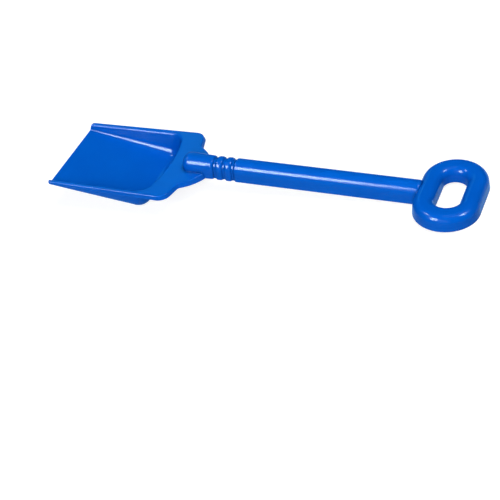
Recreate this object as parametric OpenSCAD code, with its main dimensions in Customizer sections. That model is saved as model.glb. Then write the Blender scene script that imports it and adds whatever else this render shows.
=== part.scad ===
// Sand shovel: a moulded scoop, a beaded collar, an arched shaft that is open below, and a loop grip.
// The pieces are drawn along X from the scoop's front edge to the end of the grip, with the top of the
// scoop's deck at height zero, and are then laid down the way the shovel rests on a flat surface.

/* [Scoop] */
// Width across the rim at the front edge
scoop_front_width = 108.4; // [96:0.2:120]
// Width across the rim at the rear corners, measured before they are rounded
scoop_rear_width = 114.6; // [100:0.2:130]
// Length of each side, from the front edge to the rear corner
scoop_side_length = 136.7; // [126:0.2:150]
// Radius of the rear corners
scoop_corner_r = 12; // [5:0.5:14]
// Radius of the front corners of the rim
front_corner_r = 2.6; // [1:0.1:4]
// Thickness of the scoop's plastic
scoop_wall = 1.8; // [1.6:0.1:2.4]
// How far the front end of the rim stands back from the front edge of the floor
front_rake = 2.3; // [1:0.1:5]
// Width of the flat rim beside the well, at its front end
rim_front_width = 4.5; // [3.6:0.1:6]
// Width of the flat rim beside the well, at the heel
rim_width = 7.2; // [6:0.1:9]
// Height of the turned-down lip at the front edge
lip_front_height = 3; // [2:0.1:5]
// Height of the turned-down lip at the tip of the tongue
lip_rear_height = 6.3; // [4:0.1:6.4]

/* [Well] */
// How far the middle of the well's rear edge stands in front of the rear corners
well_setback = 16.4; // [10:0.1:18]
// Radius of the bowed rear edge of the well
well_rear_r = 162; // [120:1:240]
// Radius of the rear corners of the well's edge, seen from above
well_corner_r = 15; // [9:0.5:18]
// Depth of the floor below the deck at the front edge
floor_front_depth = 7.5; // [6:0.1:12]
// Depth of the floor below the deck at the heel
heel_depth = 26.6; // [18:0.1:30]
// How far the heel stands in front of the middle of the well's rear edge
heel_setback = 21.2; // [15:0.1:28]
// Width of the floor at the front edge
floor_front_width = 96.2; // [88:0.2:98.8]
// Width of the floor at the heel
heel_width = 95.8; // [82:0.2:97]
// Radius of the floor's rear corners, seen from above
heel_corner_r = 12.5; // [10:0.5:16]
// Radius of the rounding between floor and walls at the front edge
floor_front_round_r = 1.4; // [1:0.1:3]
// Radius of the rounding between floor and walls at the heel
floor_round_r = 12; // [4:0.1:12.8]

/* [Deck and tongue] */
// How far the rear edge runs back from the rear corners to the root of the tongue
rear_edge_run = 5.5; // [4:0.1:12]
// Width of the tongue at its root
tongue_root_width = 66.8; // [50:0.5:80]
// Length of the tongue from its root to where it meets the neck
tongue_length = 20.4; // [18:0.2:28]
// Radius of the tongue's bowed sides
tongue_side_r = 50; // [32:0.5:80]
// Radius of the hollow curve between the rear edge and the side of the tongue
tongue_root_r = 5; // [4:0.5:20]

/* [Neck] */
// Width of the neck at its end, of the collar and of the shaft
neck_width = 21.2; // [20:0.1:24]
// Width of the neck at its nose
nose_width = 23; // [21:0.1:26]
// Height of the middle of the arch above the deck
arch_lift = 2.9; // [2:0.1:4]
// Depth of the lower edges of the neck, the collar and the shaft below the deck
neck_drop = 6.7; // [6.5:0.1:7]
// How far the neck's nose reaches in front of the root of the tongue
nose_lead = 8.9; // [6:0.1:14]
// How far the neck runs past the tip of the tongue
neck_reach = 9.3; // [5:0.1:16]
// Radius of the rounded shoulders beside the grooves
shoulder_r = 3.2; // [1:0.1:3.6]

/* [Collar] */
// Number of beads
bead_count = 2; // [1:1:4]
// Width of one bead
bead_width = 8.4; // [7.4:0.1:12]
// Width of the groove on each side of a bead
groove_width = 1.6; // [1.4:0.1:4]
// Depth of the grooves
groove_depth = 1.9; // [1:0.1:2.2]

/* [Shaft] */
// Length of the shaft that shows between the collar and the loop
shaft_length = 188.4; // [140:0.1:260]
// Thickness of the shaft's plastic
shaft_wall = 2; // [1.6:0.1:2.6]
// Thickness of the wall across each end of the shaft
end_wall = 3; // [2:0.1:4]
// How far the upper end of the shaft sits inside the loop
shaft_seat = 4.6; // [3.4:0.1:6]
// Radius of the rounded upper end of the shaft
shaft_end_r = 3.4; // [1:0.1:4]
// Number of bays between the cross ribs under the shaft
shaft_bays = 7; // [3:1:12]
// Thickness of the cross ribs under the shaft and the loop
rib_thickness = 1.6; // [1:0.1:2.4]

/* [Joining tongues] */
// Width of the tongues at the ends of the shaft
joint_width = 13.2; // [11:0.1:13.4]
// Height of the tongues
joint_height = 8.2; // [6:0.1:8.3]
// Depth of the tongues' lower edges below the deck
joint_drop = 3.5; // [2.4:0.1:3.6]
// Thickness of the tongues' walls
joint_wall = 2; // [1.4:0.1:2.6]
// How far the lower tongue reaches into the neck
neck_joint_depth = 24; // [16:0.5:26]
// How far the upper tongue reaches into the loop, past the end of the shaft
loop_joint_depth = 9; // [5:0.1:9.4]
// Thickness of the two webs in the neck that hold the tongue
web_thickness = 2; // [1.4:0.1:3]
// Play on each side between pieces that fit into one another
fit_clearance = 0.15; // [0.1:0.01:0.25]

/* [Loop grip] */
// Length of the loop along the shovel
loop_length = 65.4; // [62:0.2:80]
// Width of the loop across the shovel
loop_width = 100.2; // [92:0.2:120]
// Width of the loop's bar
bar_width = 21.2; // [19:0.1:24]
// How far each side of the bar leans in between its foot and its shoulder
bar_draft = 0.9; // [0.4:0.1:1.2]
// Radius of the bar's rounded shoulders
bar_shoulder_r = 8.7; // [7:0.1:9.2]
// Height of the loop's crown above the deck
loop_crown = 12.4; // [11.2:0.1:13]
// Depth of the loop's lower edge below the deck
loop_drop = 3.1; // [2:0.1:5]
// Thickness of the loop's plastic
loop_wall = 2; // [1.6:0.1:2.6]
// Number of bays between the ribs under each round end of the loop
end_bays = 4; // [2:1:8]

/* [Hidden] */
$fn = 64;

// How far cuts run past the surface that they open
overrun = 2;
// Steps along each bowed or rounded stretch of the scoop's outline
outline_steps = 10;
// Facets of the rounded bodies that shape the well
well_facets = 32;

neck_r = neck_width / 2;
nose_r = nose_width / 2;
well_length = scoop_side_length - well_setback;
heel_distance = well_length - heel_setback;
tongue_root = scoop_side_length + rear_edge_run;
tongue_tip = tongue_root + tongue_length;
nose_distance = tongue_root - nose_lead;
neck_end = tongue_tip + neck_reach;
neck_length = neck_end - nose_distance;
collar_length = bead_count * bead_width + (bead_count + 1) * groove_width;
shaft_start = neck_end + collar_length;
loop_start = shaft_start + shaft_length;
shaft_end = loop_start + shaft_seat;
overall_length = loop_start + loop_length;
loop_r = (loop_length - bar_width) / 2;
loop_straight = loop_width - loop_length;
loop_arch_z = loop_crown - bar_shoulder_r;
floor_turn = atan2(heel_depth - floor_front_depth, heel_distance);
heel_z = floor_round_r / cos(floor_turn) - heel_depth;
front_bottom = -floor_front_depth - scoop_wall / cos(floor_turn);

// The shovel rests on the heel's rounded lower edge and on the lower edge of the loop's end.
heel_outer_r = floor_round_r + scoop_wall;
rest_run = overall_length - heel_distance;
rest_rise = -loop_drop - heel_z;
rest_tilt = atan2(rest_rise, rest_run) + asin(heel_outer_r / norm([rest_run, rest_rise]));
rest_height = heel_distance * sin(rest_tilt) - heel_z * cos(rest_tilt) + heel_outer_r;
front_reach = front_bottom * sin(rest_tilt);
end_reach = max(overall_length * cos(rest_tilt) - loop_drop * sin(rest_tilt),
    (overall_length - bar_draft - bar_shoulder_r) * cos(rest_tilt) + loop_arch_z * sin(rest_tilt)
    + bar_shoulder_r);

function unit(v) = v / norm(v);
function mirrored(points) =
    concat(points, [for (i = [len(points) - 1:-1:0]) [points[i].x, -points[i].y]]);
function arc(centre, r, from, to) =
    [for (i = [0:outline_steps])
        let (a = from + (to - from) * i / outline_steps) centre + r * [cos(a), sin(a)]];
function turn_of(v) = atan2(v.y, v.x);

// Half of the scoop's outline, from the front to the tongue's tip, drawn in from the edge by an inset.
root_point = [tongue_root, tongue_root_width / 2];
tip_point = [tongue_tip, neck_r];
corner_point = [scoop_side_length, scoop_rear_width / 2];
side_slope = (scoop_rear_width - scoop_front_width) / 2 / scoop_side_length;
tongue_along = unit(tip_point - root_point);
tongue_half_chord = norm(tip_point - root_point) / 2;
tongue_centre = (root_point + tip_point) / 2
    + [tongue_along.y, -tongue_along.x] * sqrt(pow(tongue_side_r, 2) - pow(tongue_half_chord, 2));

function side_y(x) = scoop_front_width / 2 + side_slope * x;
function half_outline(inset, front) =
    let (to_front = unit([-1, -side_slope]),
         to_root = unit(root_point - corner_point),
         half_turn = acos(to_front * to_root) / 2,
         inward = unit(to_front + to_root) / sin(half_turn),
         centre = corner_point + inward * scoop_corner_r,
         rear_out = [-to_root.y, to_root.x],
         root_offset = root_point + tongue_root_r * rear_out - tongue_centre,
         root_along = root_offset * to_root,
         root_run = root_along + sqrt(pow(root_along, 2) - root_offset * root_offset
                                      + pow(tongue_side_r + tongue_root_r, 2)),
         root_centre = tongue_centre + root_offset - root_run * to_root)
    concat(
        front,
        arc(centre, scoop_corner_r - inset, turn_of([to_front.y, -to_front.x]), turn_of(rear_out)),
        arc(root_centre, tongue_root_r + inset, turn_of(-rear_out), turn_of(tongue_centre - root_centre)),
        arc(tongue_centre, tongue_side_r - inset, turn_of(root_centre - tongue_centre),
            turn_of(tip_point - tongue_centre)));

// Lays a piece down from its drawn place to its place at rest.
module laid_down() {
    translate([-(front_reach + end_reach) / 2, 0, rest_height])
        rotate([0, rest_tilt, 0])
            children();
}

// Plan of a bar along X. Each end is given as [place, half width, corner radius].
module bar_plan(from, to) {
    from_x = from[0] + from[2];
    to_x = to[0] - to[2];
    polygon([[from_x, -from[1]], [to_x, -to[1]], [to_x, to[1]], [from_x, from[1]]]);
    for (end = [[from_x, from, -1], [to_x, to, 1]]) {
        corner_y = end[1][1] - end[1][2];
        if (end[1][2] > 0) {
            for (side = [-1, 1])
                translate([end[0], side * corner_y])
                    circle(end[1][2]);
            if (corner_y > 0)
                translate([end[0] + min(0, end[2] * end[1][2]), -corner_y])
                    square([end[1][2], 2 * corner_y]);
        }
    }
}

// Bar along X with an arched top and upright sides, between two ends of the kind that bar_plan takes.
module arched_bar(from, to, bottom) {
    translate([0, 0, arch_lift])
        rotate([90, 0, 90])
            rotate_extrude(angle = 180)
                intersection() {
                    mirror([1, -1, 0])
                        bar_plan(from, to);
                    translate([0, from[0] - overrun])
                        square([max(from[1], to[1]) + overrun, to[0] - from[0] + 2 * overrun]);
                }
    translate([0, 0, bottom])
        linear_extrude(height = arch_lift - bottom)
            bar_plan(from, to);
}

// Space that a joining tongue needs, with play around it.
module joint_space(from, to) {
    translate([from, -joint_width / 2 - fit_clearance, -joint_drop - fit_clearance])
        cube([to - from, joint_width + 2 * fit_clearance, joint_height + 2 * fit_clearance]);
}

// Channel-shaped tongue that joins the shaft to the neck or to the loop.
module joint_tongue(from, to) {
    difference() {
        translate([from, -joint_width / 2, -joint_drop])
            cube([to - from, joint_width, joint_height]);
        translate([from - overrun, joint_wall - joint_width / 2, -joint_drop - overrun])
            cube([to - from + 2 * overrun, joint_width - 2 * joint_wall,
                  joint_height - joint_wall + overrun]);
    }
}

// Body of the well: an open top with a bowed rear edge over a sloping floor with rounded edges.
module well_body(grow, bottom, height) {
    corner_y = side_y(heel_distance) - rim_width - well_corner_r;
    rear_centre = well_length - well_rear_r;
    corner_x = rear_centre + sqrt(pow(well_rear_r - well_corner_r, 2) - pow(corner_y, 2));
    rear_angle = atan2(corner_y, corner_x - rear_centre);
    front_y = side_y(0) - rim_front_width + grow;
    heel_turn_r = heel_corner_r - floor_round_r;
    round_r = floor_round_r + grow;
    front_round_z = floor_front_round_r / cos(floor_turn) - floor_front_depth + overrun * tan(floor_turn);
    hull() {
        translate([0, 0, bottom])
            linear_extrude(height = height) {
                polygon(concat(
                    [[-overrun, -front_y], [-overrun, front_y]],
                    arc([rear_centre, 0], well_rear_r + grow, rear_angle, -rear_angle)));
                for (side = [-1, 1])
                    translate([corner_x, side * corner_y])
                        circle(well_corner_r + grow, $fn = well_facets);
            }
        for (side = [-1, 1]) {
            translate([heel_distance, side * (heel_width / 2 - heel_corner_r), heel_z])
                rotate([0, floor_turn, 0])
                    translate([-heel_turn_r, 0, 0])
                        rotate_extrude($fn = well_facets)
                            intersection() {
                                translate([heel_turn_r, 0])
                                    circle(round_r, $fn = well_facets);
                                translate([0, -round_r])
                                    square([heel_turn_r + round_r, 2 * round_r]);
                            }
            translate([-overrun, side * (floor_front_width / 2 - floor_front_round_r), front_round_z])
                sphere(floor_front_round_r + grow, $fn = well_facets);
        }
    }
}

// Flat deck and rim with the turned-down lip, before the well is sunk into it.
module deck() {
    corner_x = front_rake + front_corner_r;
    front_corner = arc([corner_x, side_y(corner_x) - front_corner_r], front_corner_r, 180, 90);
    lip_slope = atan2(lip_rear_height - lip_front_height, tongue_tip);
    difference() {
        translate([0, 0, -lip_rear_height])
            linear_extrude(height = lip_rear_height)
                polygon(mirrored(half_outline(0, front_corner)));
        translate([0, 0, -lip_rear_height - overrun])
            linear_extrude(height = lip_rear_height + overrun - scoop_wall)
                polygon(mirrored(half_outline(scoop_wall, [[-overrun, side_y(-overrun) - scoop_wall]])));
        translate([0, -scoop_rear_width, -lip_front_height])
            rotate([0, lip_slope, 0])
                translate([-overrun, 0, -lip_rear_height])
                    cube([tongue_tip + 2 * overrun, 2 * scoop_rear_width, lip_rear_height]);
    }
}

// Half width of the hollow in the tapering neck.
function neck_hollow(x) =
    nose_r + (neck_r - nose_r) * (x - nose_distance - nose_r) / (neck_length - nose_r) - scoop_wall;

module scoop() {
    color("royalblue") laid_down() {
        inner_web = neck_end - neck_joint_depth + web_thickness;
        outer_web = neck_end - web_thickness;
        hollow_bottom = -neck_drop - overrun;
        pan_bottom = -heel_depth - scoop_wall - overrun;
        difference() {
            union() {
                deck();
                intersection() {
                    well_body(scoop_wall, -scoop_wall, scoop_wall);
                    translate([0, scoop_rear_width / 2, 0])
                        rotate([90, 0, 0])
                            linear_extrude(height = scoop_rear_width)
                                polygon([[front_rake, 0], [0, front_bottom], [0, pan_bottom],
                                         [tongue_root, pan_bottom], [tongue_root, 0]]);
                }
                arched_bar([nose_distance, nose_r, nose_r], [neck_end, neck_r, shoulder_r], -neck_drop);
            }
            well_body(0, 0, overrun);
            arched_bar([nose_distance + scoop_wall, nose_r - scoop_wall, nose_r - scoop_wall],
                       [inner_web, neck_hollow(inner_web), 0], hollow_bottom);
            arched_bar([inner_web + web_thickness, neck_hollow(inner_web + web_thickness), 0],
                       [outer_web, neck_hollow(outer_web), 0], hollow_bottom);
            joint_space(neck_end - neck_joint_depth, neck_end + overrun);
        }
    }
}

module neck_collar() {
    color("mediumblue") laid_down()
        difference() {
            union() {
                arched_bar([neck_end, neck_r - groove_depth, 0], [shaft_start, neck_r - groove_depth, 0],
                           -neck_drop);
                for (i = [0:bead_count - 1]) {
                    bead_start = neck_end + groove_width + i * (bead_width + groove_width);
                    arched_bar([bead_start, neck_r, shoulder_r],
                               [bead_start + bead_width, neck_r, shoulder_r], -neck_drop);
                }
            }
            joint_space(neck_end - overrun, shaft_start + overrun);
        }
}

module shaft() {
    inner_start = shaft_start + end_wall;
    bay_pitch = (shaft_end - end_wall - inner_start + rib_thickness) / shaft_bays;
    color("blue") laid_down() {
        difference() {
            arched_bar([shaft_start, neck_r, shoulder_r], [shaft_end, neck_r, shaft_end_r], -neck_drop);
            for (i = [0:shaft_bays - 1]) {
                bay_start = inner_start + i * bay_pitch;
                arched_bar([bay_start, neck_r - shaft_wall, 0],
                           [bay_start + bay_pitch - rib_thickness, neck_r - shaft_wall, 0],
                           -neck_drop - overrun);
            }
        }
        joint_tongue(neck_end - neck_joint_depth + fit_clearance, shaft_start + end_wall / 2);
        joint_tongue(shaft_end - end_wall / 2, shaft_end + loop_joint_depth);
    }
}

// Section of the loop's bar, whose sides lean in, or of the upright hollow below it, drawn in by an inset.
module loop_section(inset, bottom) {
    half_width = bar_width / 2 - bar_draft - inset;
    foot_half = inset > 0 ? half_width : bar_width / 2;
    round_r = bar_shoulder_r - inset;
    intersection() {
        union() {
            for (side = [-1, 1])
                translate([side * (half_width - round_r), loop_arch_z])
                    circle(round_r);
            translate([round_r - half_width, loop_arch_z])
                square([2 * (half_width - round_r), round_r]);
            polygon([[-foot_half, bottom], [foot_half, bottom],
                     [half_width, loop_arch_z], [-half_width, loop_arch_z]]);
        }
        translate([-foot_half, bottom])
            square([2 * foot_half, loop_crown - inset - bottom]);
    }
}

// Stretch of a section along one straight side of the loop; side is -1 next to the shaft and 1 at the end.
module loop_side(side, from, to, inset, bottom) {
    translate([loop_start + loop_length / 2 + side * loop_r, to, 0])
        rotate([90, 0, 0])
            linear_extrude(height = to - from)
                loop_section(inset, bottom);
}

// Stretch of a section around one round end of the loop; end is -1 or 1 along Y.
module loop_end(end, from, to, inset, bottom) {
    translate([loop_start + loop_length / 2, end * loop_straight / 2, 0])
        rotate([0, 0, from + 90 * (end - 1)])
            rotate_extrude(angle = to - from)
                translate([loop_r, 0])
                    loop_section(inset, bottom);
}

module loop_grip() {
    hollow_bottom = -loop_drop - overrun;
    half_side = loop_straight / 2;
    joint_half = joint_width / 2 + fit_clearance;
    rib_turn = rib_thickness / loop_r * 180 / PI;
    bay_turn = (180 - rib_turn) / end_bays;
    color("dodgerblue") laid_down()
        difference() {
            union() {
                for (side = [-1, 1]) {
                    loop_side(side, -half_side, half_side, 0, -loop_drop);
                    loop_end(side, 0, 180, 0, -loop_drop);
                }
            }
            loop_side(-1, -joint_half, joint_half, loop_wall, hollow_bottom);
            for (side = [-1, 1]) {
                bay_edges = [joint_half + rib_thickness, half_side];
                loop_side(-1, min(side * bay_edges), max(side * bay_edges), loop_wall, hollow_bottom);
                for (i = [0:end_bays - 1])
                    loop_end(side, i * bay_turn + rib_turn, (i + 1) * bay_turn, loop_wall, hollow_bottom);
            }
            loop_side(1, -half_side, half_side, loop_wall, hollow_bottom);
            arched_bar([loop_start - overrun, neck_r + fit_clearance, 0],
                       [shaft_end + fit_clearance, neck_r + fit_clearance, shaft_end_r],
                       -neck_drop - overrun);
            joint_space(loop_start, shaft_end + loop_joint_depth + fit_clearance);
        }
}

scoop();
neck_collar();
shaft();
loop_grip();
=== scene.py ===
# %% [markdown]
# # A sand shovel in moulded plastic
# The object is a child's sand shovel: a scoop with an open front, a ribbed neck, an arched shaft and a loop
# to hold it by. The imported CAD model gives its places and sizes. This lesson rebuilds its four pieces with
# the soft, rounded edges that a mould leaves, because light shows an edge only where it has a radius.

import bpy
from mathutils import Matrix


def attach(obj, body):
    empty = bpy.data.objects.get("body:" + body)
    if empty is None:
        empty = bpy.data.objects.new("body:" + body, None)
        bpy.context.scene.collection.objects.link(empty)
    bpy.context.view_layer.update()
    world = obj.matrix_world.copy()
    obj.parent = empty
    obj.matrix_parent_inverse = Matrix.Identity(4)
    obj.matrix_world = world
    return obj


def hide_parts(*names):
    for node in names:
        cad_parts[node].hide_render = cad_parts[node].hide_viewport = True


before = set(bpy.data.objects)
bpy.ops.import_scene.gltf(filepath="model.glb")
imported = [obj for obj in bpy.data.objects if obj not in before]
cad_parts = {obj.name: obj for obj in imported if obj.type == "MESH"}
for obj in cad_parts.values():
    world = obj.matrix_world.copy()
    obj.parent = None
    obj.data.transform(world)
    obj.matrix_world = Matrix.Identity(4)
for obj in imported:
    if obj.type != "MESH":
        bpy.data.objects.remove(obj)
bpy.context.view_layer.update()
print("nodes:", sorted(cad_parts))

# %% [markdown]
# ## From the drawing to the table
# The shovel is drawn lying along X in millimetres, with the top of the scoop's deck at height zero. On a
# table it tips a little, until the scoop's heel and the end of the loop both touch. Every point of the
# lesson is drawn first and laid down last, so the numbers stay easy to read.

# %% Lay points down
import math
import numpy as np

MM_PER_M = 1000
REST_TILT = math.radians(4.12549)
REST_SHIFT = (-222.623, 0.0, 35.2713)
TILT_COS, TILT_SIN = math.cos(REST_TILT), math.sin(REST_TILT)


def lay(points):
    """Turns drawn millimetres into metres in the frame of the CAD model."""
    x, y, z = np.asarray(points, float).T
    laid_x = x * TILT_COS + z * TILT_SIN + REST_SHIFT[0]
    laid_z = z * TILT_COS - x * TILT_SIN + REST_SHIFT[2]
    return np.stack([laid_x, y, laid_z], 1) / MM_PER_M


print("the drawing's origin lies at", lay([(0, 0, 0)])[0].round(4))

# %% [markdown]
# ## Skins over rings
# Nearly every surface here is a skin over a row of rings: a section that changes a little from one ring to
# the next. A subdivided box would also give soft edges, but its radii would be guesses. With rings each
# radius is a number, and the mesh follows the direction of the form, which keeps reflections clean.

# %% Build meshes from rings
import bmesh
import bpy

MERGE_DISTANCE = 2e-6


def skin(rings, closed=False):
    """Points and faces of a skin over rings of equally many points, capped at both ends unless closed."""
    count = len(rings[0])
    points = np.concatenate(rings)
    faces = []
    for i in range(len(rings) if closed else len(rings) - 1):
        a, b = i * count, (i + 1) % len(rings) * count
        faces += [(a + j, a + (j + 1) % count, b + (j + 1) % count, b + j) for j in range(count)]
    if not closed:
        faces.append(tuple(range(count - 1, -1, -1)))
        faces.append(tuple(range(len(points) - count, len(points))))
    return points, faces


def block(low, high):
    """Points and faces of a plain box, for tongues and the spaces that they go into."""
    (x0, y0, z0), (x1, y1, z1) = low, high
    base = np.array([(x0, y0, z0), (x1, y0, z0), (x1, y1, z0), (x0, y1, z0)], float)
    return skin([base, base + (0, 0, z1 - z0)])


def make(name, *bodies):
    """Makes one object from bodies that are each closed."""
    work = bmesh.new()
    for points, faces in bodies:
        verts = [work.verts.new(p) for p in lay(points)]
        for face in faces:
            work.faces.new([verts[i] for i in face])
        bmesh.ops.remove_doubles(work, verts=verts, dist=MERGE_DISTANCE)
    bmesh.ops.recalc_face_normals(work, faces=work.faces)
    mesh = bpy.data.meshes.new(name)
    work.to_mesh(mesh)
    work.free()
    piece = bpy.data.objects.new(name, mesh)
    bpy.context.scene.collection.objects.link(piece)
    return piece


def combine(piece, tool, how):
    """Joins a tool to a piece, or cuts it out, and keeps only the piece."""
    step = piece.modifiers.new("combine", "BOOLEAN")
    step.operation = how
    step.solver = "MANIFOLD"
    step.object = tool
    result = piece.evaluated_get(bpy.context.evaluated_depsgraph_get())
    made = bpy.data.meshes.new_from_object(result)
    piece.modifiers.clear()
    old = piece.data
    piece.data = made
    made.name = piece.name
    bpy.data.meshes.remove(old)
    bpy.data.objects.remove(tool)
    return piece


print("helpers for skins are ready")

# %% [markdown]
# ## The arched section
# Neck, collar and shaft share one section: a half circle on straight sides, open below. A ring of it is
# given by its place along X and its half width. Where a piece ends, the half width follows a quarter circle,
# which rounds the shoulder in one go, over the top and down both sides.

# %% Rings of the arched section
ARCH_LIFT, NECK_R, NECK_DROP = 2.89, 10.6, 6.7
FOOT_ROUND, CUT_FOOT, OVERRUN = 0.7, 0.1, 3.0
FOOT_TURN = np.linspace(0, math.pi / 2, 5)


def arch_ring(x, half, bottom=-NECK_DROP, foot=FOOT_ROUND, steps=48):
    """Closed section at x: a half circle over straight sides, with small rounds at its feet."""
    over = np.linspace(0, math.pi, steps + 1)
    foot = min(foot, half / 2)
    y = [half * np.cos(over), foot - half - foot * np.cos(FOOT_TURN), half - foot + foot * np.sin(FOOT_TURN)]
    z = [ARCH_LIFT + half * np.sin(over), bottom + foot - foot * np.sin(FOOT_TURN),
         bottom + foot - foot * np.cos(FOOT_TURN)]
    y, z = np.concatenate(y), np.concatenate(z)
    return np.stack([np.full(len(y), float(x)), y, z], 1)


def shoulder(x, half, r, inward, steps=8):
    """Places and half widths around the rounded end of a bar; inward is 1 at its start and -1 at its end."""
    turn = np.linspace(0, math.pi / 2, steps + 1)
    rows = [(x + inward * r * (1 - math.cos(t)), half - r * (1 - math.sin(t))) for t in turn]
    return rows if inward > 0 else rows[::-1]


def arch_cut(rows):
    """Arched space over rows of places and half widths, open below, for hollows and seats."""
    return skin([arch_ring(x, half, -NECK_DROP - OVERRUN, CUT_FOOT) for x, half in rows])


print("points in one arched ring:", len(arch_ring(0, NECK_R)))

# %% [markdown]
# ## The shaft
# The shaft is a long arched stem. Underneath it is hollow, with thin ribs across it, as such mouldings are
# to save plastic and cooling time. A channel-shaped tongue at each end plugs into the neck and the loop. The
# bays between the ribs are cut from a solid bar, which is simpler than to build the ribs one by one.

# %% Make the shaft
NECK_END, SHAFT_START, LOOP_START, SHAFT_END = 171.9, 193.5, 381.9, 386.5
SHOULDER_R, SHAFT_END_R, SHAFT_WALL, END_WALL = 3.2, 3.4, 2.0, 3.0
SHAFT_BAYS, RIB, PLAIN_MARGIN = 7, 1.6, 14.0
JOINT_WIDTH, JOINT_HEIGHT, JOINT_DROP, JOINT_WALL = 13.2, 8.2, 3.5, 2.0
JOINT_INTO_NECK, JOINT_INTO_LOOP = 23.85, 9.0


def joint_tongue(x0, x1):
    """Makes a joining tongue, a block with a channel cut along its underside."""
    half, top = JOINT_WIDTH / 2, JOINT_HEIGHT - JOINT_DROP
    inner = half - JOINT_WALL
    outside = block((x0, -half, -JOINT_DROP), (x1, half, top))
    low, high = (x0 - OVERRUN, -inner, -JOINT_DROP - OVERRUN), (x1 + OVERRUN, inner, top - JOINT_WALL)
    return combine(make("tongue", outside), make("channel", block(low, high)), "DIFFERENCE")


stations = shoulder(SHAFT_START, NECK_R, SHOULDER_R, 1)
stations += [(x, NECK_R) for x in np.linspace(SHAFT_START + PLAIN_MARGIN, SHAFT_END - PLAIN_MARGIN, 14)]
stations += shoulder(SHAFT_END, NECK_R, SHAFT_END_R, -1)
shaft = make("shaft_skin", skin([arch_ring(x, half) for x, half in stations]))
bay_start = SHAFT_START + END_WALL
bay_pitch = (SHAFT_END - END_WALL - bay_start + RIB) / SHAFT_BAYS
bays = []
for i in range(SHAFT_BAYS):
    x0 = bay_start + i * bay_pitch
    bays.append(arch_cut([(x, NECK_R - SHAFT_WALL) for x in (x0, x0 + bay_pitch - RIB)]))
combine(shaft, make("bays", *bays), "DIFFERENCE")
combine(shaft, joint_tongue(NECK_END - JOINT_INTO_NECK, SHAFT_START + END_WALL / 2), "UNION")
combine(shaft, joint_tongue(SHAFT_END - END_WALL / 2, SHAFT_END + JOINT_INTO_LOOP), "UNION")
print("shaft faces:", len(shaft.data.polygons))

# %% [markdown]
# ## The collar
# Two round beads with narrow grooves beside them ring the neck. Their outline along X is the higher of two
# curves, the groove's floor and the bead's rounded back. A soft maximum blends the two, so that the groove
# has the small fillet that a milled mould leaves. A bevel would need sharp edges to start from.

# %% Make the collar
BEADS, BEAD_WIDTH, COLLAR_RINGS = 2, 8.4, 118
GROOVE_WIDTH, GROOVE_DEPTH, GROOVE_BLEND = 1.6, 1.9, 0.1
JOINT_PLAY = 0.15
SOCKET_HALF = JOINT_WIDTH / 2 + JOINT_PLAY


def bead_half(x):
    """Half width of the collar at x."""
    best = NECK_R - GROOVE_DEPTH
    for i in range(BEADS):
        start = NECK_END + GROOVE_WIDTH + i * (BEAD_WIDTH + GROOVE_WIDTH)
        edge = min(x - start, start + BEAD_WIDTH - x)
        if edge > 0:
            lack = max(0.0, SHOULDER_R - edge)
            back = NECK_R - SHOULDER_R + math.sqrt(SHOULDER_R ** 2 - lack ** 2)
            best = (best + back + math.hypot(back - best, GROOVE_BLEND)) / 2
    return min(best, NECK_R)


def joint_socket(x0, x1):
    """Makes the space that a joining tongue goes into, with a little play."""
    low = (x0, -SOCKET_HALF, -JOINT_DROP - JOINT_PLAY)
    high = (x1, SOCKET_HALF, JOINT_HEIGHT - JOINT_DROP + JOINT_PLAY)
    return make("socket", block(low, high))


places = np.linspace(NECK_END, SHAFT_START, COLLAR_RINGS)
collar = make("neck_collar_skin", skin([arch_ring(x, bead_half(x)) for x in places]))
combine(collar, joint_socket(NECK_END - OVERRUN, SHAFT_START + OVERRUN), "DIFFERENCE")
print("collar faces:", len(collar.data.polygons))

# %% [markdown]
# ## The loop
# The grip is a bar bent into a stadium shape. Its section has two big rounded shoulders, and sides that lean
# in a little so that it leaves the mould. It is swept around the path as a closed skin, because a curve with
# a bevel could not make the bar wider around the two ends of the hole. Its hollow underside is cut in bays,
# with ribs between them.

# %% Rings of the loop
LOOP_LENGTH, LOOP_WIDTH, BAR_WIDTH, BAR_SHOULDER_R = 65.4, 100.2, 21.2, 8.7
LOOP_CROWN, LOOP_DROP, LOOP_WALL, BAR_DRAFT = 12.4, 3.1, 2.0, 0.9
SHOULDER_BREAK, BAR_FOOT_INSET, END_EXTRA = math.radians(14), 0.1, 2.6
LOOP_X = LOOP_START + LOOP_LENGTH / 2
LOOP_R = (LOOP_LENGTH - BAR_WIDTH) / 2
LOOP_SIDE = (LOOP_WIDTH - LOOP_LENGTH) / 2


def bar_section(inset, bottom, foot, steps):
    """Section of the bar as offsets from its middle line and heights."""
    half, r = BAR_WIDTH / 2 - BAR_DRAFT - inset, BAR_SHOULDER_R - inset
    base = half if inset else BAR_WIDTH / 2 - BAR_FOOT_INSET
    height = LOOP_CROWN - BAR_SHOULDER_R
    middle = half - r * math.cos(SHOULDER_BREAK)
    turn = np.linspace(SHOULDER_BREAK, math.pi / 2, steps + 1)
    u = [middle + r * np.cos(turn), -middle - r * np.cos(turn[::-1]),
         foot - base - foot * np.cos(FOOT_TURN), base - foot + foot * np.sin(FOOT_TURN)]
    z = [height + r * np.sin(turn), height + r * np.sin(turn[::-1]),
         bottom + foot - foot * np.sin(FOOT_TURN), bottom + foot - foot * np.cos(FOOT_TURN)]
    return np.concatenate(u), np.concatenate(z)


def loop_ring(centre, out, section, extra=0.0):
    """Ring of a section at a point of the path, with the path's outward direction and extra width inside."""
    u, z = section
    crown = BAR_WIDTH / 2 - BAR_DRAFT - BAR_SHOULDER_R
    u = u - extra * np.clip((crown - u) / (2 * crown), 0, 1)
    return np.stack([centre[0] + u * out[0], centre[1] + u * out[1], z], 1)


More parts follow.
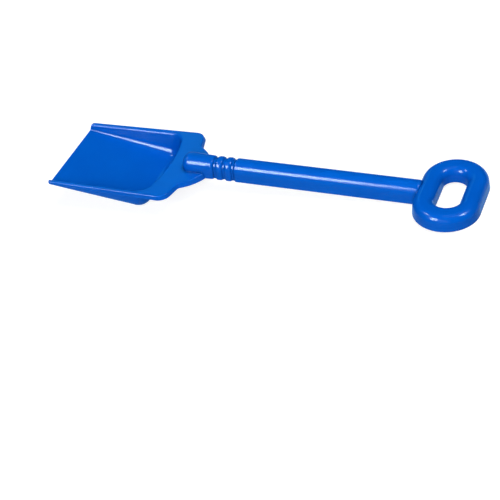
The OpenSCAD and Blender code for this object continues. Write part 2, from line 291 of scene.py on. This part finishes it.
def loop_turn(end, turns, section):
    """Rings around one round end of the loop; end is 1 or -1 along Y, turns run from 0 to 180 degrees."""
    rings = []
    for t in np.radians(turns):
        out = (end * math.cos(t), end * math.sin(t))
        centre = (LOOP_X + LOOP_R * out[0], end * LOOP_SIDE + LOOP_R * out[1])
        rings.append(loop_ring(centre, out, section, END_EXTRA * math.sin(t)))
    return rings


def loop_run(side, y0, y1, section, count=2):
    """Rings along one straight side of the loop; side is -1 next to the shaft."""
    ys = np.linspace(y0, y1, count)
    return [loop_ring((LOOP_X + side * LOOP_R, y), (side, 0), section) for y in ys]


bar = bar_section(0, -LOOP_DROP, FOOT_ROUND, 18)
print("points in one ring of the loop:", len(bar[0]))

# %% Make the loop
END_BAYS, SEAT_PLAY = 4, 0.05
around = np.linspace(0, 180, 57)
rings = loop_turn(1, around, bar) + loop_run(-1, LOOP_SIDE, -LOOP_SIDE, bar, 9)[1:-1]
rings += loop_turn(-1, around, bar) + loop_run(1, -LOOP_SIDE, LOOP_SIDE, bar, 9)[1:-1]
loop = make("loop_grip_skin", skin(rings, closed=True))
hollow = bar_section(LOOP_WALL, -LOOP_DROP - OVERRUN, CUT_FOOT, 8)
rib_turn = math.degrees(RIB / LOOP_R)
bay_turn = (180 - rib_turn) / END_BAYS
bays = [loop_run(-1, -SOCKET_HALF, SOCKET_HALF, hollow), loop_run(1, -LOOP_SIDE, LOOP_SIDE, hollow)]
for end in (-1, 1):
    bays.append(loop_run(-1, end * (SOCKET_HALF + RIB), end * LOOP_SIDE, hollow))
    for i in range(END_BAYS):
        turns = np.linspace(i * bay_turn + rib_turn, (i + 1) * bay_turn, 14)
        bays.append(loop_turn(end, turns, hollow))
for bay in bays:
    combine(loop, make("bay", skin(bay)), "DIFFERENCE")
seat_half = NECK_R + SEAT_PLAY
seat = [(LOOP_START - OVERRUN, seat_half)] + shoulder(SHAFT_END + SEAT_PLAY, seat_half, SHAFT_END_R, -1)
combine(loop, make("seat", arch_cut(seat)), "DIFFERENCE")
combine(loop, joint_socket(LOOP_START, SHAFT_END + JOINT_INTO_LOOP + JOINT_PLAY), "DIFFERENCE")
print("loop faces:", len(loop.data.polygons))

# %% [markdown]
# ## The scoop's deck
# Seen from above, the scoop is a wide plate with rounded corners and a tongue that runs out to the neck. Its
# edge is turned down into a lip. The plate's rings are one outline drawn at several insets, which rounds the
# edge all the way round at once; a second, smaller plate is then cut from below to leave the lip.

# %% Draw the outline
SCOOP_WALL = 1.8
FRONT_HALF, REAR_HALF, SIDE_LENGTH, DECK_CORNER_R = 54.2, 57.3, 136.7, 12.0
TONGUE_ROOT, TONGUE_ROOT_HALF, TONGUE_TIP = 142.2, 33.4, 162.6
TONGUE_ROOT_R, TONGUE_SIDE_R = 5.0, 50.0
SIDE_SLOPE = (REAR_HALF - FRONT_HALF) / SIDE_LENGTH


def unit(v):
    """Vector of length one in the same direction."""
    return v / np.linalg.norm(v)


def arc(centre, r, start, end, steps=14):
    """Points of an arc between two directions, taken the short way."""
    a, b = math.atan2(start[1], start[0]), math.atan2(end[1], end[0])
    b = a + (b - a + math.pi) % (2 * math.pi) - math.pi
    t = np.linspace(a, b, steps + 1)
    return centre + r * np.stack([np.cos(t), np.sin(t)], 1)


def side_y(x):
    """Half width of the scoop at x, along its straight sides."""
    return FRONT_HALF + SIDE_SLOPE * x


def outline(inset, front):
    """Closed outline of the scoop, drawn in by an inset; front is the half outline's first points."""
    corner = np.array([SIDE_LENGTH, REAR_HALF])
    root, tip = np.array([TONGUE_ROOT, TONGUE_ROOT_HALF]), np.array([TONGUE_TIP, NECK_R])
    to_front, to_root = unit(np.array([-1, -SIDE_SLOPE])), unit(root - corner)
    half_turn = math.acos(to_front @ to_root) / 2
    corner_c = corner + unit(to_front + to_root) * DECK_CORNER_R / math.sin(half_turn)
    along = unit(tip - root)
    half_chord = np.linalg.norm(tip - root) / 2
    reach = math.sqrt(TONGUE_SIDE_R ** 2 - half_chord ** 2)
    tongue_c = (root + tip) / 2 + np.array([along[1], -along[0]]) * reach
    rear_out = np.array([-to_root[1], to_root[0]])
    offset = root + TONGUE_ROOT_R * rear_out - tongue_c
    run = offset @ to_root
    run += math.sqrt(run ** 2 - offset @ offset + (TONGUE_SIDE_R + TONGUE_ROOT_R) ** 2)
    root_c = tongue_c + offset - run * to_root
    half = np.concatenate([
        front,
        arc(corner_c, DECK_CORNER_R - inset, (to_front[1], -to_front[0]), rear_out),
        arc(root_c, TONGUE_ROOT_R + inset, -rear_out, tongue_c - root_c),
        arc(tongue_c, TONGUE_SIDE_R - inset, root_c - tongue_c, tip - tongue_c)])
    return np.concatenate([half, half[::-1] * (1, -1)])


FRONT_RAKE, FRONT_CORNER_R = 2.3, 2.6
rim_places = np.linspace(12, 118, 14)
corner_x = FRONT_RAKE + FRONT_CORNER_R
corner_centre = np.array([corner_x, side_y(corner_x) - FRONT_CORNER_R])


def rim_outline(inset):
    """Outline with the rounded front corners of the rim and points along its sides."""
    front = arc(corner_centre, FRONT_CORNER_R - inset, (-1, 0), (0, 1), 8)
    side = np.stack([rim_places, side_y(rim_places) - inset], 1)
    return outline(inset, np.concatenate([front, side]))


print("points in the outline:", len(rim_outline(0)))

# %% Make the deck and its lip
LIP_PLACES, LIP_HEIGHTS = (0, SIDE_LENGTH, TONGUE_TIP), (2.9, 4.9, 6.6)
LIP_FLARE, LIP_EDGE_R, DECK_EDGE_R = 1.1, 0.5, 1.4


def lip_z(x):
    """Height of the lip's lower edge at x."""
    return -np.interp(x, LIP_PLACES, LIP_HEIGHTS)


def flared(inset, share):
    """Outline of the lip, which leans in towards its top; share is how far up the lip it is taken."""
    low, high = rim_outline(inset), rim_outline(inset + LIP_FLARE)
    lean = share * np.clip(low[:, :1] / SIDE_LENGTH, 0, 1)
    return low + lean * (high - low)


def at_height(points, z):
    """Adds a height, or one height for each point, to points of a plan."""
    return np.column_stack([points, np.broadcast_to(z, len(points))])


rings = []
for t in np.linspace(0, math.pi / 2, 3):
    plan = flared(LIP_EDGE_R * (1 - math.sin(t)), 0)
    rings.append(at_height(plan, lip_z(plan[:, 0]) + LIP_EDGE_R * (1 - math.cos(t))))
for t in np.linspace(0, math.pi / 2, 8):
    rings.append(at_height(flared(DECK_EDGE_R * (1 - math.cos(t)), 1), DECK_EDGE_R * (math.sin(t) - 1)))
scoop = make("scoop_skin", skin(rings))
inner = outline(SCOOP_WALL, np.array([(-OVERRUN, side_y(-OVERRUN) - SCOOP_WALL)]))
under = skin([at_height(inner, -LIP_HEIGHTS[-1] - OVERRUN), at_height(inner, -SCOOP_WALL)])
combine(scoop, make("under", under), "DIFFERENCE")
print("deck faces:", len(scoop.data.polygons))

# %% [markdown]
# ## The well
# The well is sunk into the deck: a flat floor that slopes down to a heel, with walls that lean outwards and
# a bowed rear edge. Its path has two lines, the edge on the deck and the crease at the floor, each with its
# own outward direction. Bevelled edges would all get one radius. Here both lines get a true fillet, and the
# crease's radius grows from front to heel, which makes the long bright strip along it widen too.

# %% Stations of the well
FLOOR_FRONT, HEEL_DEPTH, HEEL_X = 7.5, 26.5, 99.1
FLOOR_SLOPE = (HEEL_DEPTH - FLOOR_FRONT) / HEEL_X
WELL_LENGTH, REAR_R, WELL_CORNER_R = 120.3, 162.0, 15.0
REAR_CENTRE = WELL_LENGTH - REAR_R
RIM_FRONT, RIM_HEEL = 4.5, 7.2
EDGE_FRONT_Y, EDGE_CORNER_Y = FRONT_HALF - RIM_FRONT, side_y(HEEL_X) - RIM_HEEL
EDGE_ROUND_FRONT, EDGE_ROUND_CORNER, EDGE_ROUND_REAR = 2.6, 4.0, 3.0
CREASE_FRONT_Y, CREASE_HEEL_Y, CREASE_REAR_X, CREASE_R = 48.0, 47.6, 105.0, 12.0
CREASE_ROUND_FRONT, CREASE_ROUND = 1.4, 12.4


def floor_z(x):
    """Height of the well's floor at x."""
    return -FLOOR_FRONT - x * FLOOR_SLOPE


def between(a, b, share):
    """Value at a share of the way from a to b."""
    return a + share * (b - a)


def well_stations(front_x):
    """Edge points, crease points, their outward directions and their radii along the well's path."""
    corner_y = EDGE_CORNER_Y - WELL_CORNER_R
    corner = np.array([REAR_CENTRE + math.sqrt((REAR_R - WELL_CORNER_R) ** 2 - corner_y ** 2), corner_y])
    rear_turn = math.atan2(corner_y, corner[0] - REAR_CENTRE)
    crease_c = np.array([CREASE_REAR_X - CREASE_R, CREASE_HEEL_Y - CREASE_R])
    rows = []
    for w in np.linspace(0, 1, 20)[:-1]:
        edge = (between(front_x, corner[0], w), between(EDGE_FRONT_Y, EDGE_CORNER_Y, w))
        crease = (between(front_x, crease_c[0], w), between(CREASE_FRONT_Y, CREASE_HEEL_Y, w))
        crease_r = between(CREASE_ROUND_FRONT, CREASE_ROUND, w)
        edge_r = between(EDGE_ROUND_FRONT, EDGE_ROUND_CORNER, w)
        rows.append((*edge, *crease, 0, 1, 0, 1, crease_r, edge_r))
    for w in np.linspace(0, 1, 17):
        turns = between(math.pi / 2, rear_turn, w), between(math.pi / 2, 0, w)
        edge_out, crease_out = (np.array([math.cos(t), math.sin(t)]) for t in turns)
        edge, crease = corner + WELL_CORNER_R * edge_out, crease_c + CREASE_R * crease_out
        edge_r = between(EDGE_ROUND_CORNER, EDGE_ROUND_REAR, w)
        rows.append((*edge, *crease, *edge_out, *crease_out, CREASE_ROUND, edge_r))
    for w in np.linspace(0, 1, 11)[1:]:
        t = between(rear_turn, 0, w)
        edge = (REAR_CENTRE + REAR_R * math.cos(t), REAR_R * math.sin(t))
        crease = (CREASE_REAR_X, between(crease_c[1], 0, w))
        rows.append((*edge, *crease, math.cos(t), math.sin(t), 1, 0, CREASE_ROUND, EDGE_ROUND_REAR))
    rows = np.array(rows)
    other_side = np.array([1, -1] * 4 + [1, 1])
    rows = np.concatenate([rows, rows[-2::-1] * other_side])
    edges, creases = at_height(rows[:, :2], 0.0), at_height(rows[:, 2:4], floor_z(rows[:, 2]))
    outs = at_height(rows[:, 4:6], 0.0), at_height(rows[:, 6:8], 0.0)
    return list(zip(edges, creases, *outs, rows[:, 8], rows[:, 9]))


def fillet(before, corner, after, r, steps):
    """Arc of radius r that rounds the corner between two points."""
    a, b = unit(before - corner), unit(after - corner)
    half = math.acos(np.clip(a @ b, -1, 1)) / 2
    centre = corner + unit(a + b) * r / math.sin(half)
    start, end = (corner + d * r / math.tan(half) - centre for d in (a, b))
    turn = math.pi - 2 * half
    return [centre + (math.sin((1 - t) * turn) * start + math.sin(t * turn) * end) / math.sin(turn)
            for t in np.linspace(0, 1, steps + 1)]


print("stations around the well:", len(well_stations(0)))

# %% Make the space of the well
DECK_SKIM = 0.01
profiles = []
for edge, crease, edge_out, crease_out, crease_r, edge_r in well_stations(-OVERRUN):
    inward = crease - crease_out
    inward[2] = floor_z(inward[0])
    rim = fillet(edge + edge_out, edge, crease, edge_r, 8)
    above = [rim[0] + (0, 0, OVERRUN), rim[0] + (0, 0, DECK_SKIM)]
    profiles.append(above + rim[1:] + fillet(edge, crease, inward, crease_r, 14))
well_space = skin([np.array(ring) for ring in zip(*profiles)])
print("points of the well's space:", len(well_space[0]))

# %% Make the pan below it
FLOOR_THICK = SCOOP_WALL * math.hypot(1, FLOOR_SLOPE)
PAN_FRONT, PAN_TOP, FRONT_GAP = 0.2, -0.9, 0.03
profiles = []
for edge, crease, _, out, crease_r, _ in well_stations(PAN_FRONT):
    run, rise = (edge - crease) @ out, edge[2] - crease[2]
    base = crease + SCOOP_WALL * unit(rise * out - np.array([0, 0, run]))
    along = unit(edge - crease)
    lack = base[2] - floor_z(base[0]) + FLOOR_THICK
    corner = base - along * lack / (along[2] + FLOOR_SLOPE * along[0])
    top = base + along * (PAN_TOP - base[2]) / along[2]
    inward = corner - out
    inward[2] += FLOOR_SLOPE * out[0]
    profiles.append([top] + fillet(top, corner, inward, crease_r + SCOOP_WALL, 14))
for profile in (profiles[0], profiles[-1]):
    for point in profile:
        point[0] = FRONT_GAP + FRONT_RAKE * (1 + point[2] / (FLOOR_FRONT + FLOOR_THICK))
pan_body = skin([np.array(ring) for ring in zip(*profiles)])
combine(scoop, make("pan", pan_body), "UNION")
print("deck and pan faces:", len(scoop.data.polygons))

# %% [markdown]
# ## The neck
# The neck is the arched bar again, with a blunt, rounded nose that lies on the deck. The nose is a quarter
# of an ellipse in plan, made from arched rings that grow quickly. Around its foot runs a very small hollow
# round, as a mould's cutter leaves one. It is a thin skirt with a concave section, joined to neck and deck.

# %% Make the neck
NOSE_X, NOSE_R, NOSE_LENGTH = 135.6, 11.48, 8.8
TAPER_START, TAPER_END = NOSE_X + NOSE_LENGTH, NECK_END - SHOULDER_R
nose_turns = np.radians(np.linspace(1.5, 90, 26))


def neck_half(x):
    """Half width of the neck at x, behind its nose."""
    return between(NOSE_R, NECK_R, (x - TAPER_START) / (TAPER_END - TAPER_START))


stations = [(TAPER_START - NOSE_LENGTH * math.cos(t), NOSE_R * math.sin(t)) for t in nose_turns]
stations += [(x, neck_half(x)) for x in np.linspace(TAPER_START, TAPER_END, 8)[1:-1]]
stations += shoulder(NECK_END, NECK_R, SHOULDER_R, -1)
neck = make("neck", skin([arch_ring(x, half) for x, half in stations]))
print("neck faces:", len(neck.data.polygons))

# %% Round its foot
SKIRT_R, SKIRT_END, SKIRT_END_SHARE, PATH_STEP = 0.2, 159.3, 0.12, 0.5
SKIRT_IN, SKIRT_DOWN, SKIRT_SINK = 0.6, 1.0, 0.015
places = np.linspace(SKIRT_END, TAPER_START + PATH_STEP, 12)
shares = np.linspace(SKIRT_END_SHARE, 1, 12)
path = [((x, neck_half(x)), (0, 1), share) for x, share in zip(places, shares)]
for t in np.linspace(math.pi / 2, math.pi, 20):
    out = unit(np.array([NOSE_R * math.cos(t), NOSE_LENGTH * math.sin(t)]))
    path.append(((TAPER_START + NOSE_LENGTH * math.cos(t), NOSE_R * math.sin(t)), out, 1))
path += [((x, -y), (nx, -ny), share) for (x, y), (nx, ny), share in path[-2::-1]]
quarter = np.linspace(0, math.pi / 2, 8)
rings = []
for (x, y), (nx, ny), share in path:
    r = SKIRT_R * share
    o = np.concatenate([[-SKIRT_IN, r], r - r * np.sin(quarter), [-SKIRT_IN]]) - SKIRT_SINK
    z = np.concatenate([[-SKIRT_DOWN, -SKIRT_DOWN], r - r * np.cos(quarter), [r]]) - SKIRT_SINK
    rings.append(np.stack([x + nx * o, y + ny * o, z], 1))
combine(neck, make("skirt", skin(rings)), "UNION")
print("neck faces with the foot's round:", len(neck.data.polygons))

# %% Join the scoop and hollow the neck
WEB, INNER_WEB_REACH = 2.0, 22.0
combine(scoop, neck, "UNION")
combine(scoop, make("well", well_space), "DIFFERENCE")
inner_web = NECK_END - INNER_WEB_REACH
inner_length, inner_r = NOSE_LENGTH - SCOOP_WALL, NOSE_R - SCOOP_WALL
rows = [(TAPER_START - inner_length * math.cos(t), inner_r * math.sin(t)) for t in nose_turns]
rows.append((inner_web, neck_half(inner_web) - SCOOP_WALL))
combine(scoop, make("hollow", arch_cut(rows)), "DIFFERENCE")
rows = [(x, neck_half(x) - SCOOP_WALL) for x in (inner_web + WEB, NECK_END - WEB)]
combine(scoop, make("hollow", arch_cut(rows)), "DIFFERENCE")
combine(scoop, joint_socket(NECK_END - JOINT_INTO_NECK - JOINT_PLAY, NECK_END + OVERRUN), "DIFFERENCE")
print("scoop faces:", len(scoop.data.polygons))

# %% [markdown]
# ## The fall of the rim
# On the real scoop the rim is not quite level: it sinks a little towards the open front, while the floor
# stays where it is. To draw every ring with that slope would make each formula longer. It is simpler to move
# the finished points, the most at the rim's front and less with depth and towards the rear.

# %% Let the rim fall towards the front
RIM_FALL = 1.2
for point in scoop.data.vertices:
    laid_x, laid_z = point.co.x * MM_PER_M - REST_SHIFT[0], point.co.z * MM_PER_M - REST_SHIFT[2]
    x, z = laid_x * TILT_COS - laid_z * TILT_SIN, laid_x * TILT_SIN + laid_z * TILT_COS
    share = min(1, max(0, 1 - z / floor_z(x)))
    point.co.z -= RIM_FALL * share * max(0, 1 - x / SIDE_LENGTH) / MM_PER_M
print("the rim falls by", RIM_FALL, "mm")

# %% [markdown]
# ## Shading
# Curved faces share their normals so that they look smooth, and edges sharper than a given angle stay crisp.
# Weighted normals let the large flat faces keep their own direction next to the narrow rounds. More faces
# would help too, but only slowly, and the part would be heavier.

# %% Smooth the pieces and put them in their places
SHARP_ANGLE = math.radians(32)
PIECES = {"scoop": scoop, "neck_collar": collar, "shaft": shaft, "loop_grip": loop}
for node, piece in PIECES.items():
    piece.data.shade_smooth()
    piece.data.set_sharp_from_angle(angle=SHARP_ANGLE)
    normals = piece.modifiers.new("normals", "WEIGHTED_NORMAL")
    normals.keep_sharp = True
    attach(piece, "root")
    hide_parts(node)
    print(piece.name, "has", len(piece.data.vertices), "points")

# %% [markdown]
# ## Moulded plastic
# The plastic is glossy and evenly coloured right through. Close up it still varies: pigment swirls a little,
# the gloss is duller in patches, and the surface has the faint ripple of a polished mould. Sand rubs the
# edges, so they are a touch paler. A bevelled normal that turns away from the true one marks those edges,
# without painting them by hand. Ambient occlusion keeps that wear out of the nooks. It also paints shade
# into them: the colour darkens in the grooves of the collar and other nooks, where little light gets in.

# %% Make the plastic
def plastic(name, deep, light, pale):
    """Glossy plastic with faint swirls, paler worn edges, painted shade in the nooks, duller patches and a
    fine ripple.
    """
    material = bpy.data.materials.new(name)
    material.use_nodes = True
    nodes, links = material.node_tree.nodes, material.node_tree.links
    shader = nodes["Principled BSDF"]
    shader.inputs["IOR"].default_value = 1.5
    shader.inputs["Specular IOR Level"].default_value = 0.1
    place = nodes.new("ShaderNodeTexCoord")

    def noise(scale, detail):
        """Noise in the piece's own coordinates."""
        texture = nodes.new("ShaderNodeTexNoise")
        texture.inputs["Scale"].default_value = scale
        texture.inputs["Detail"].default_value = detail
        links.new(place.outputs["Object"], texture.inputs["Vector"])
        return texture.outputs["Fac"]

    def remap(source, start=(0.0, 0.0), end=(1.0, 1.0)):
        """Turns the range between two values of a source into another; start and end are (from, to)."""
        step = nodes.new("ShaderNodeMapRange")
        step.inputs["From Min"].default_value, step.inputs["To Min"].default_value = start
        step.inputs["From Max"].default_value, step.inputs["To Max"].default_value = end
        links.new(source, step.inputs["Value"])
        return step.outputs["Result"]

    swirl = nodes.new("ShaderNodeValToRGB")
    swirl.color_ramp.elements[0].color = (*deep, 1)
    swirl.color_ramp.elements[0].position = 0.3
    swirl.color_ramp.elements[1].color = (*light, 1)
    swirl.color_ramp.elements[1].position = 0.7
    links.new(noise(22, 4), swirl.inputs["Fac"])

    bevel = nodes.new("ShaderNodeBevel")
    bevel.inputs["Radius"].default_value = 0.0008
    geometry = nodes.new("ShaderNodeNewGeometry")
    agree = nodes.new("ShaderNodeVectorMath")
    agree.operation = "DOT_PRODUCT"
    links.new(bevel.outputs["Normal"], agree.inputs[0])
    links.new(geometry.outputs["Normal"], agree.inputs[1])
    # Ambient occlusion of the nooks: it keeps the paler wear off them and paints shade into them.
    nook_shade = nodes.new("ShaderNodeAmbientOcclusion")
    nook_shade.inputs["Distance"].default_value = 0.004
    rub = nodes.new("ShaderNodeMath")
    rub.operation = "MULTIPLY"
    links.new(remap(agree.outputs["Value"], (1.0, 0.0), (0.8, 0.35)), rub.inputs[0])
    links.new(remap(nook_shade.outputs["AO"], (0.85, 0.0)), rub.inputs[1])
    worn = nodes.new("ShaderNodeMix")
    worn.data_type = "RGBA"
    worn.inputs["B"].default_value = (*pale, 1)
    links.new(rub.outputs["Value"], worn.inputs["Factor"])
    links.new(swirl.outputs["Color"], worn.inputs["A"])
    # Painted shade: the colour darkens where the occlusion is strong, in the grooves and other nooks.
    painted_shade = nodes.new("ShaderNodeVectorMath")
    painted_shade.operation = "SCALE"
    links.new(worn.outputs["Result"], painted_shade.inputs["Vector"])
    links.new(remap(nook_shade.outputs["AO"], (0.0, 0.2)), painted_shade.inputs["Scale"])
    links.new(painted_shade.outputs["Vector"], shader.inputs["Base Color"])

    links.new(remap(noise(60, 6), (0.0, 0.13), (1.0, 0.21)), shader.inputs["Roughness"])
    bump = nodes.new("ShaderNodeBump")
    bump.inputs["Strength"].default_value = 0.05
    bump.inputs["Distance"].default_value = 0.0002
    links.new(noise(260, 3), bump.inputs["Height"])
    links.new(bump.outputs["Normal"], shader.inputs["Normal"])
    return material


DEEP_BLUE, LIGHT_BLUE, RUBBED_BLUE = (0.0, 0.091, 0.5), (0.0, 0.105, 0.55), (0.0, 0.145, 0.62)
blue = plastic("blue_plastic", DEEP_BLUE, LIGHT_BLUE, RUBBED_BLUE)
for piece in PIECES.values():
    piece.data.materials.clear()
    piece.data.materials.append(blue)
print("plastic on", len(PIECES), "pieces")

# %% [markdown]
# ## The floor
# The shovel lies on a plain pale floor. More light would make the floor white, and the plastic too bright.
# So the floor glows a little, but only for the camera, and in a cool tint for the plastic that mirrors it.
# The rest of its brightness comes from the lamps, which keeps the shovel's shadow.

# %% Make the floor
FLOOR_SIZE, FLOOR_GAP = 8, 0.0003
bpy.ops.mesh.primitive_plane_add(size=FLOOR_SIZE, location=(0, 0, -FLOOR_GAP))
floor = bpy.context.active_object
floor.name = "floor"
paper = bpy.data.materials.new("paper")
paper.use_nodes = True
nodes, links = paper.node_tree.nodes, paper.node_tree.links
shader = nodes["Principled BSDF"]
shader.inputs["Base Color"].default_value = (0.35, 0.35, 0.35, 1)
shader.inputs["Roughness"].default_value = 0.9
shader.inputs["Specular IOR Level"].default_value = 0.0
ray = nodes.new("ShaderNodeLightPath")
shown = nodes.new("ShaderNodeMath")
shown.operation = "MAXIMUM"
links.new(ray.outputs["Is Camera Ray"], shown.inputs[0])
links.new(ray.outputs["Is Glossy Ray"], shown.inputs[1])
glow = nodes.new("ShaderNodeMapRange")
glow.inputs["To Max"].default_value = 0.85
links.new(shown.outputs["Value"], glow.inputs["Value"])
links.new(glow.outputs["Result"], shader.inputs["Emission Strength"])
tint = nodes.new("ShaderNodeMix")
tint.data_type = "RGBA"
tint.inputs["A"].default_value = (1, 1, 1, 1)
tint.inputs["B"].default_value = (0.2, 0.7, 1.3, 1)
links.new(ray.outputs["Is Glossy Ray"], tint.inputs["Factor"])
links.new(tint.outputs["Result"], shader.inputs["Emission Color"])
floor.data.materials.append(paper)
print("floor at", floor.location.z)

# %% [markdown]
# ## The light
# Gloss shows lamps as bright shapes, so the lamps do two separate jobs. Two large ones, above and in front,
# light the plastic evenly and stay out of its reflections. Three softboxes, to the front left, the right and
# the left, are only mirrored: they draw the strips along the well, the neck and the shaft, and the spots on
# the loop. A sky-coloured card behind the scoop gives the deck its sheen. With no bounces allowed, these four
# add less stray light from one glossy wall to the next.

# %% Set up the room
world = bpy.data.worlds.new("studio")
bpy.context.scene.world = world
world.use_nodes = True
nodes, links = world.node_tree.nodes, world.node_tree.links
room = nodes["Background"]
room.inputs["Color"].default_value = (0.3, 0.8, 1, 1)
room.inputs["Strength"].default_value = 0.1
backdrop = nodes.new("ShaderNodeBackground")
backdrop.inputs["Color"].default_value = (1, 1, 1, 1)
ray = nodes.new("ShaderNodeLightPath")
seen = nodes.new("ShaderNodeMixShader")
links.new(ray.outputs["Is Camera Ray"], seen.inputs["Fac"])
links.new(room.outputs["Background"], seen.inputs[1])
links.new(backdrop.outputs["Background"], seen.inputs[2])
links.new(seen.outputs["Shader"], nodes["World Output"].inputs["Surface"])
print("world:", world.name)

# %% Place the lamps
from mathutils import Vector


def softbox(name, target, direction, distance, size, glow):
    """Rectangular lamp that looks at a target from a direction, with a given brightness of its face."""
    lamp = bpy.data.lights.new(name, "AREA")
    lamp.shape = "RECTANGLE"
    lamp.size, lamp.size_y = size
    lamp.energy = glow * math.pi * size[0] * size[1]
    holder = bpy.data.objects.new(name, lamp)
    bpy.context.scene.collection.objects.link(holder)
    away = Vector(direction).normalized()
    holder.location = Vector(target) + away * distance
    holder.rotation_euler = away.to_track_quat("Z", "Y").to_euler()
    return holder


SHOVEL, SCOOP, LOOP = (0, 0, 0.02), (-0.08, 0, 0.03), (0.19, 0, 0.02)
COOL, SKY = (0.8, 0.95, 1.0), (0.1, 0.85, 1.0)
for lamp, colour in (
        (softbox("front_left", SHOVEL, (-0.34, -0.70, 0.625), 3.0, (1.05, 1.3), 70), COOL),
        (softbox("right", LOOP, (0.62, 0.07, 0.78), 3.0, (0.8, 0.8), 60), COOL),
        (softbox("left", LOOP, (-0.57, -0.1, 0.815), 4.0, (0.64, 0.64), 60), COOL),
        (softbox("card", SCOOP, (-0.45, 0.72, 0.53), 3.0, (1.0, 0.8), 2.2), SKY)):
    lamp.data.color = colour
    lamp.data.cycles.max_bounces = 0
    lamp.visible_diffuse = False
for lamp in (softbox("top", SHOVEL, (0.3, 0.1, 0.95), 3.0, (2.0, 2.0), 5.5),
             softbox("front", SHOVEL, (0.1, -0.9, 0.42), 3.0, (2.0, 2.0), 6.3)):
    lamp.visible_glossy = False

# %% [markdown]
# ## The camera
# The camera looks down on the shovel from the front right through a long lens, which keeps the loop and the
# scoop in proportion. Its place and its three turns are written out, since it is also rolled a little, and a
# camera that only tracks a target would stand upright.

# %% Place the camera
CAMERA_PLACE, CAMERA_TURN = (0.51423, -0.95088, 0.75739), (51.6858, 11.4405, 21.215)
camera = bpy.data.cameras.new("camera")
camera.sensor_width = 36
camera.lens = 93.94
viewer = bpy.data.objects.new("camera", camera)
bpy.context.scene.collection.objects.link(viewer)
viewer.location = CAMERA_PLACE
viewer.rotation_euler = np.radians(CAMERA_TURN)
bpy.context.scene.camera = viewer
bpy.context.scene.view_settings.view_transform = "Standard"
print("camera lens:", camera.lens, "mm")
